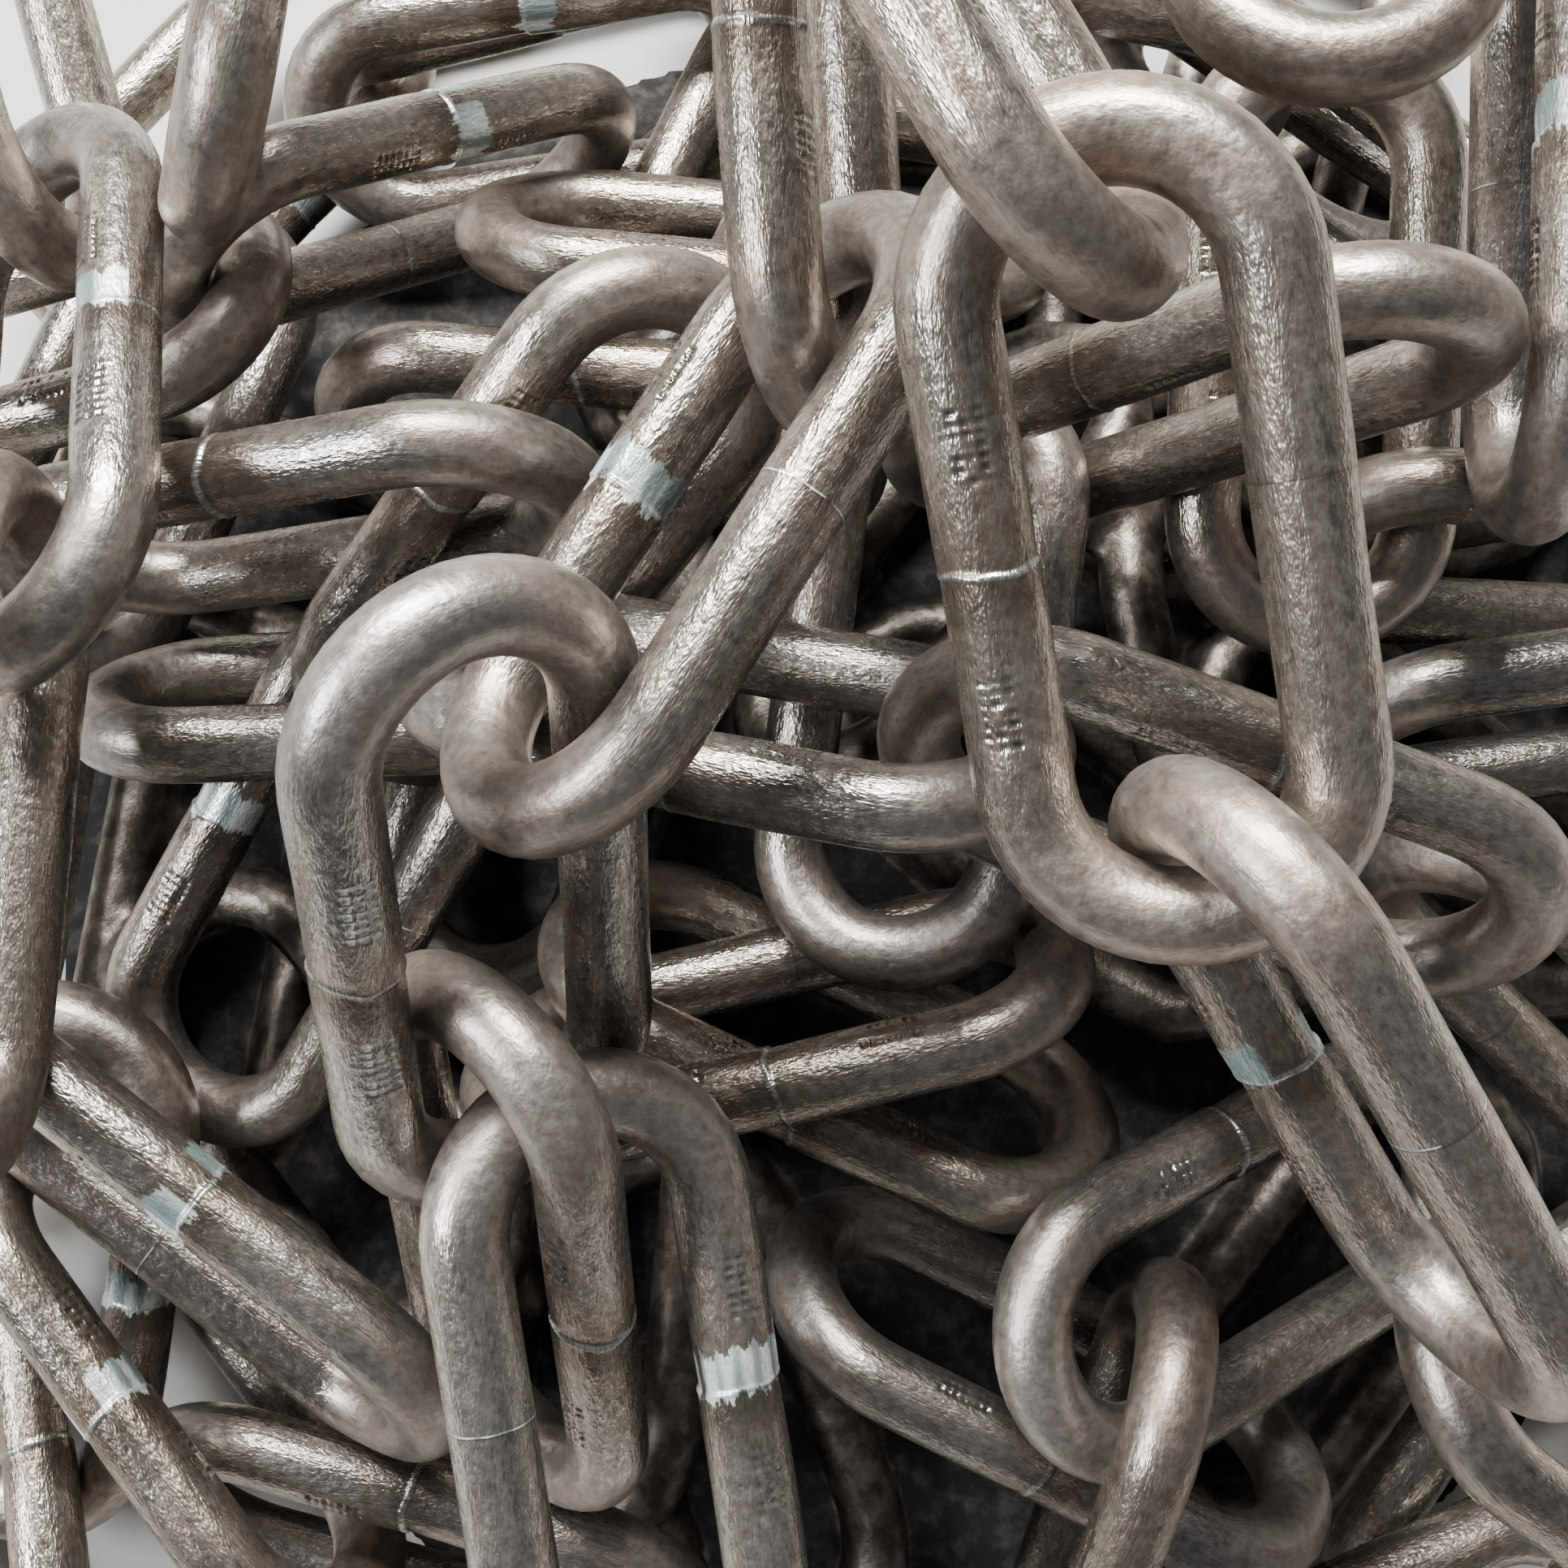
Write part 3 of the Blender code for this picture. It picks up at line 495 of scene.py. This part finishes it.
triangles = 0
for number, name in enumerate(links):
    draw = np.random.default_rng(FIRST_DRAW + number)
    front = name.startswith("front_link")
    chance = draw.uniform(0, 1)
    band = BAND.get(name, 0.5 if chance > PLAIN_SHARE and not front else 0.0)
    fine = front and int(name[-2:]) <= NEAR_LINKS
    grid, kept = skin(places[name], draw, fine, band, name in PAINTED_GLINT_LINKS)
    mesh = closed_mesh("steel_" + name, grid, kept)
    mesh.materials.append(BARE)
    piece = bpy.data.objects.new("steel_" + name, mesh)
    bpy.context.scene.collection.objects.link(piece)
    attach(piece, "root")
    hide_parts(name)
    triangles += 2 * len(mesh.polygons)
print("links dressed:", len(links), "with", triangles, "triangles")

# %% [markdown]
# Under the links in sight lie more of them, of which only dark glimpses show. The packed
# model has one solid there: a low bed with plain links lying on it. Its facets are rounded
# by filling it with small cubes and smoothing what they make, which also leaves a soft
# seam wherever two bars rest on each other. The bed itself stands for what is too deep to
# be seen, and it is painted near black: painted shade for the deep gaps of the heap, with a
# faint mottle. How far a point lies above the bed is kept with it: the bed is a flat layer
# with a rounded-off edge and a hump on it.

# %% The buried links
ROUNDING_CUBE = 1.6 * MM
SMOOTHING, SMOOTHING_PASSES = 0.5, 6
CRUST_GRAIN = 260.0
BED_CENTRE = np.array([0.009618, 0.009948])
BED_DEPTH = 7.2 * MM
LAYER_RADIUS, LAYER_HEIGHT, LAYER_EDGE = 150 * MM, 12 * MM, 10
HUMP_RADIUS, HUMP_HEIGHT = 100 * MM, 18 * MM


def bed_top(points):
    """Height of the bed: L (1 - (r / a)^n) + H (1 - (r / b)^2)^2 less its depth."""
    square = ((points[:, :2] - BED_CENTRE) ** 2).sum(axis=1)
    inside = np.maximum(0.0, 1.0 - square / HUMP_RADIUS ** 2)
    layer = LAYER_HEIGHT * (1.0 - (square / LAYER_RADIUS ** 2) ** (LAYER_EDGE / 2))
    return layer + HUMP_HEIGHT * inside ** 2 - BED_DEPTH


def rounded_copy(name, source):
    """The source mesh rounded by a voxel remesh and some smoothing."""
    rough = bpy.data.objects.new(name, source.copy())
    bpy.context.scene.collection.objects.link(rough)
    remesh = rough.modifiers.new("cubes", "REMESH")
    remesh.mode, remesh.voxel_size = "VOXEL", ROUNDING_CUBE
    smooth = rough.modifiers.new("smooth", "SMOOTH")
    smooth.factor, smooth.iterations = SMOOTHING, SMOOTHING_PASSES
    bpy.context.view_layer.update()
    shown = rough.evaluated_get(bpy.context.evaluated_depsgraph_get())
    mesh = bpy.data.meshes.new_from_object(shown)
    bpy.data.objects.remove(rough)
    mesh.name = name
    mesh.materials.clear()
    return mesh


def buried_steel(name):
    """Dark dull steel with faint bright scuffs, and painted shade on the bed: a near-black mottled
    colour.
    """
    finish = Finish(name, 0.8, 0.45)
    node = finish.node
    above, _, _ = finish.kept("above")
    place = node("TexCoord", None, (), output=3)
    grain = node("TexNoise", None,
                 {"Vector": place, "Scale": CRUST_GRAIN, "Detail": 4.0, "Roughness": 0.65})
    bar = (above + 1.2 * (grain - 0.5)).rise(0.6, 1.6)
    colour = finish.mix(grain.rise(0.35, 0.70), (0.15, 0.13, 0.115), (0.34, 0.31, 0.28))
    # painted shade: the bed is painted near black with a faint mottle, and the bars take this colour
    # where they come within about a millimetre of the bed
    painted_shade_bed = finish.mix(grain.rise(0.42, 0.72), (0.030, 0.029, 0.028), (0.090, 0.084, 0.078))
    finish.feed("Base Color", finish.mix(bar, painted_shade_bed, colour))
    finish.feed("Roughness", 0.85 - 0.40 * bar)
    finish.feed("Metallic", 0.85 * bar)
    finish.feed("Normal", node("Bump", None, {"Strength": 0.5, "Distance": 0.0006, "Height": grain}))
    return finish.material


mesh = rounded_copy("buried_links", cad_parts[core_name].data)
points = np.empty(3 * len(mesh.vertices), dtype=np.float32)
mesh.vertices.foreach_get("co", points)
points = points.reshape(-1, 3).astype(float)
above = np.zeros_like(points)
above[:, 0] = (points[:, 2] - bed_top(points)) / MM
layer = mesh.attributes.new("above", "FLOAT_VECTOR", "POINT")
layer.data.foreach_set("vector", above.astype(np.float32).ravel())
mesh.materials.append(buried_steel("buried_steel_links"))
mesh.shade_smooth()
piece = bpy.data.objects.new("buried_links", mesh)
bpy.context.scene.collection.objects.link(piece)
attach(piece, "root")
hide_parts(core_name)
print("buried links:", 2 * len(mesh.polygons), "triangles")

# %% [markdown]
# A plain pale floor carries the heap. It is wide enough for every view and has no
# pattern of its own.

# %% The floor
FLOOR_HALF = 3.0
FLOOR_COLOUR = (0.62, 0.61, 0.59, 1.0)
floor_mesh = bpy.data.meshes.new("floor")
floor_mesh.from_pydata([(-FLOOR_HALF, -FLOOR_HALF, 0), (FLOOR_HALF, -FLOOR_HALF, 0),
                        (FLOOR_HALF, FLOOR_HALF, 0), (-FLOOR_HALF, FLOOR_HALF, 0)], [], [(0, 1, 2, 3)])
floor = bpy.data.objects.new("floor", floor_mesh)
bpy.context.scene.collection.objects.link(floor)
pale = Finish("pale_floor", 0.0, 0.7)
pale.shader.inputs["Base Color"].default_value = FLOOR_COLOUR
floor_mesh.materials.append(pale.material)
print("floor", 2 * FLOOR_HALF, "m wide")

# %% [markdown]
# The photograph was taken under roof lights: one broad soft light above and behind the
# heap gives the long highlights on the upper sides of the bars, a smaller one on the left
# adds the second, fainter line, and a dim even surround keeps the gaps dark. The picture
# has strong contrast, so the view is given a contrasty look too.

# %% The light
def soft_light(name, place, target, width, height, power, colour):
    """An oblong area light at place, looking at target."""
    lamp = bpy.data.lights.new(name, "AREA")
    lamp.shape = "RECTANGLE"
    lamp.size, lamp.size_y, lamp.energy, lamp.color = width, height, power, colour
    thing = bpy.data.objects.new(name, lamp)
    thing.location = place
    back = np.array(place) - np.array(target)
    back /= np.linalg.norm(back)
    side = np.cross([0.0, 1.0, 0.0], back)
    side /= np.linalg.norm(side)
    rows = np.stack([side, np.cross(back, side), back], axis=1)
    thing.rotation_euler = Matrix(rows.tolist()).to_euler()
    bpy.context.scene.collection.objects.link(thing)
    return thing


SURROUND_COLOUR, SURROUND_STRENGTH = (0.80, 0.82, 0.85, 1.0), 0.14
soft_light("roof_light", (-0.15, 0.75, 1.05), (0, 0, 0.05), 0.8, 0.28, 36.0, (1.0, 0.985, 0.95))
soft_light("left_light", (-1.0, -0.1, 0.9), (0, 0, 0.05), 0.30, 0.6, 13.0, (0.97, 0.98, 1.0))
bpy.context.scene.view_settings.look = "AgX - Medium High Contrast"
world = bpy.data.worlds.new("surround")
bpy.context.scene.world = world
world.use_nodes = True
world.node_tree.nodes["Background"].inputs["Color"].default_value = SURROUND_COLOUR
world.node_tree.nodes["Background"].inputs["Strength"].default_value = SURROUND_STRENGTH
